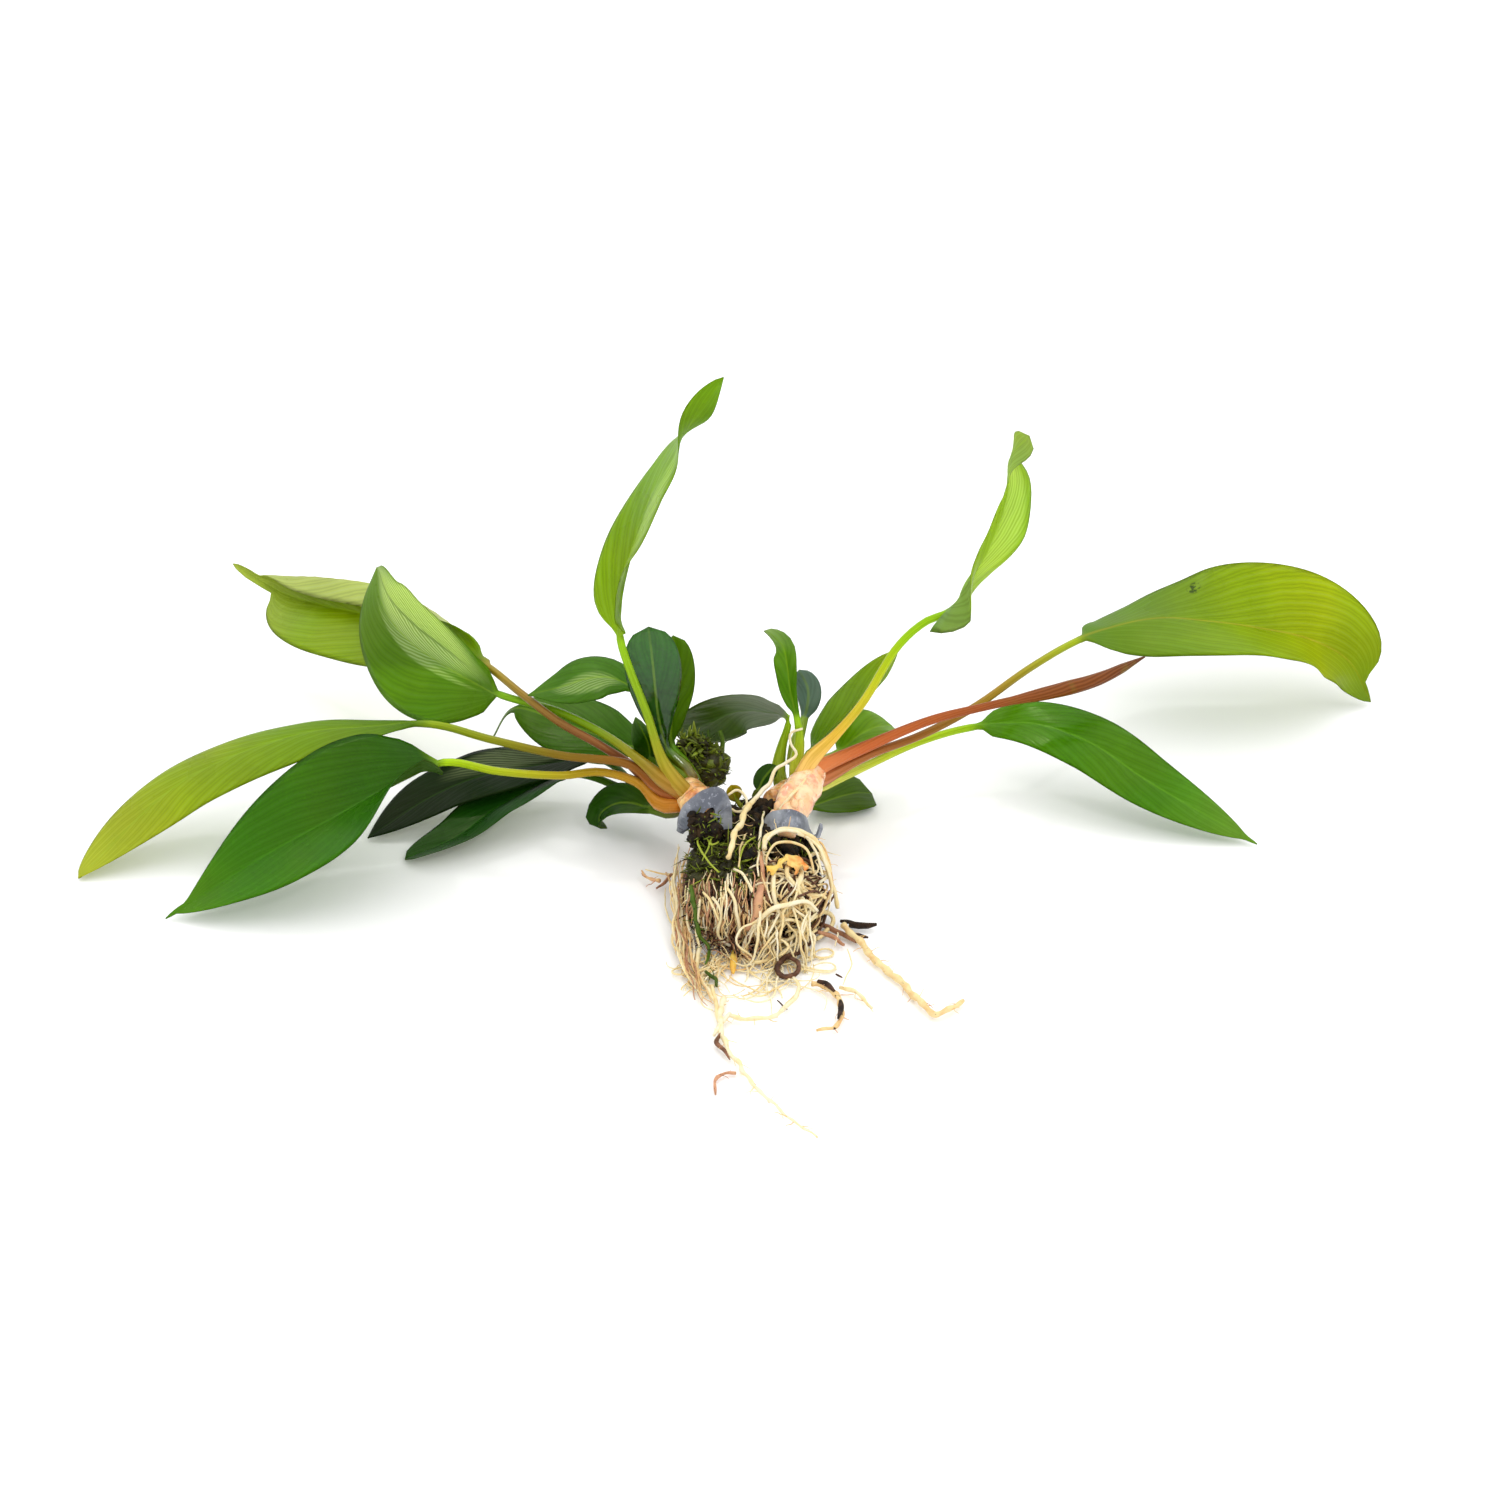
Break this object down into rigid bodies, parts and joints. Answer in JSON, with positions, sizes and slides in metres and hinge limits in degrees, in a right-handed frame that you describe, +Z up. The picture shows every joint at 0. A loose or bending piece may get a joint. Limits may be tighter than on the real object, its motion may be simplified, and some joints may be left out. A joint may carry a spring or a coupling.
{
  "type": "anubias plant on stone",
  "caption": "Aquarium plant with two leafy crowns banded at the neck, fanned leaves on long stalks, and roots and moss gripping a small stone.",
  "frame": {"origin": "centre of the stone's flat underside, on the surface the plant lies on", "axes": "+X runs along the fan of leaves, towards the crown with the rolled young leaf; +Y away from the roots; +Z up"},
  "size_m": [0.4549, 0.3018, 0.1812],
  "materials": {
    "leaf_yellow_green": "satin leaf, yellow-green",
    "leaf_mid_green": "satin leaf, mid green",
    "leaf_deep_green": "satin leaf, deep green",
    "leaf_dark_green": "wet glossy leaf, very dark green",
    "leaf_grey_green": "matte leaf underside, grey-green",
    "leaf_rust": "rolled young leaf, rust brown",
    "leaf_yellow": "small leaf, yellow",
    "crown_brown": "rhizome, orange brown",
    "crown_peach": "rhizome, peach with pink",
    "root_cream": "root, cream",
    "root_tan": "root, tan with dark bits",
    "root_mat": "tangle of fine roots",
    "moss": "wet moss, olive",
    "bark": "dark bark sliver",
    "stone": "dark rough stone",
    "band_grey": "soft dull blue-grey metal strip"
  },
  "bodies": {
    "root": {"stone": "stone", "moss_top": "moss", "moss_clump": "moss", "root_mat_left": "root_mat", "root_mat_right": "root_mat", "root_mat_floor": "root_mat", "band_left": "band_grey", "band_right": "band_grey", "crown_left": "crown_brown", "crown_right": "crown_peach", "rhizome_left": "crown_brown", "rhizome_right": "crown_brown", "root_cream": "root_cream", "root_loop": "root_cream", "root_long_right": "root_cream", "root_fork": "root_tan", "root_fork_branch": "root_cream", "root_arc": "root_cream", "root_bottom": "root_cream", "root_hook": "root_tan", "root_bundle_left": "root_cream", "root_whisker": "root_tan", "bark_sliver": "bark", "leaf_far_left": "leaf_yellow_green", "leaf_front_left": "leaf_deep_green", "leaf_folded": "leaf_mid_green", "leaf_curled": "leaf_yellow_green", "leaf_dark_low": "leaf_dark_green", "leaf_floor_left": "leaf_dark_green", "leaf_back_left": "leaf_deep_green", "leaf_back_low": "leaf_deep_green", "leaf_upright_left": "leaf_mid_green", "leaf_glossy": "leaf_deep_green", "leaf_behind_glossy": "leaf_deep_green", "leaf_small_front": "leaf_deep_green", "leaf_inner": "leaf_deep_green", "leaf_arch": "leaf_dark_green", "leaf_upright_small": "leaf_mid_green", "leaf_grey_back": "leaf_grey_green", "leaf_lance": "leaf_mid_green", "leaf_upright_right": "leaf_mid_green", "leaf_big_right": "leaf_yellow_green", "leaf_furled": "leaf_rust", "leaf_lower_right": "leaf_mid_green", "leaf_right_behind": "leaf_mid_green", "leaf_floor_small": "leaf_deep_green", "leaf_yellow_bud": "leaf_yellow", "leaf_jagged_bud": "leaf_deep_green"}
  },
  "joints": []
}
